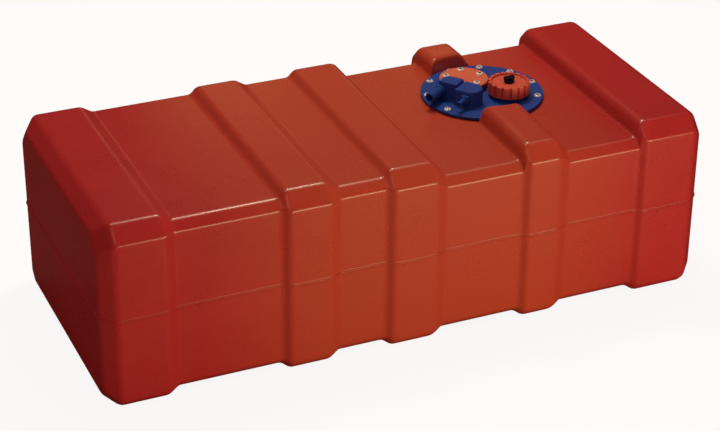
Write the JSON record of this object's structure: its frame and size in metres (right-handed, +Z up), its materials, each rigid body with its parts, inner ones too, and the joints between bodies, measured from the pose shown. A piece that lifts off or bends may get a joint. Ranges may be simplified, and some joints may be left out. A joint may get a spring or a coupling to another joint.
{
  "type": "plastic fuel tank",
  "caption": "Long ribbed plastic fuel tank with strap channels and a round bolted access plate carrying a screw filler cap, vent screw, sender cover and two hose spigots.",
  "frame": {"origin": "centre of the base at ground level", "axes": "+X along the tank towards the end with the access plate, +Y towards the back long side, +Z up"},
  "size_m": [0.9278, 0.4028, 0.2918],
  "materials": {
    "tank_plastic": "satin moulded polyethylene, orange-red",
    "cover_plastic": "satin moulded plastic, lighter orange-red",
    "plate_plastic": "satin moulded plastic, blue",
    "knob_plastic": "satin moulded plastic, very dark blue",
    "seal_rubber": "matt black rubber",
    "stainless_steel": "bright stainless steel",
    "natural_plastic": "uncoloured plastic"
  },
  "bodies": {
    "tank": {"tank_shell": "tank_plastic", "flange_gasket": "seal_rubber", "access_plate": "plate_plastic", "backing_ring": "stainless_steel", "flange_screw_01": "stainless_steel", "flange_screw_02": "stainless_steel", "flange_screw_03": "stainless_steel", "flange_screw_04": "stainless_steel", "flange_screw_05": "stainless_steel", "flange_screw_06": "stainless_steel", "flange_screw_07": "stainless_steel", "flange_screw_08": "stainless_steel", "flange_screw_09": "stainless_steel", "flange_screw_10": "stainless_steel", "cover_gasket": "seal_rubber", "sender_hole_cover": "cover_plastic", "cover_screw_1": "stainless_steel", "cover_screw_2": "stainless_steel", "cover_screw_3": "stainless_steel", "cover_screw_4": "stainless_steel", "cover_screw_5": "stainless_steel", "fuel_dip_tube": "natural_plastic", "pickup_strainer": "natural_plastic"},
    "cap_seal_ring": {"cap_seal": "seal_rubber"},
    "cap": {"filler_cap": "cover_plastic"},
    "vent_seal_ring": {"vent_seal": "seal_rubber"},
    "vent_screw": {"vent_knob": "knob_plastic"}
  },
  "joints": [
    {"name": "cap_lift", "type": "slide", "parent": "tank", "child": "cap_seal_ring", "axis": [0, 0, 1], "range_m": [0, 0.0081]},
    {"name": "cap_turn", "type": "hinge", "parent": "cap_seal_ring", "child": "cap", "pos_m": [0.24202, 0.00904, 0.27], "axis": [0, 0, 1], "range_deg": [0, 720]},
    {"name": "vent_lift", "type": "slide", "parent": "cap", "child": "vent_seal_ring", "axis": [0, 0, 1], "range_m": [0, 0.0015]},
    {"name": "vent_turn", "type": "hinge", "parent": "vent_seal_ring", "child": "vent_screw", "pos_m": [0.24202, 0.00904, 0.285], "axis": [0, 0, 1], "range_deg": [0, 360]}
  ],
  "couplings": [
    {"joint": "cap_lift", "follows": "cap_turn", "m_per_rad": 0.00063662},
    {"joint": "vent_turn", "follows": "vent_lift", "rad_per_m": 4188.8}
  ]
}
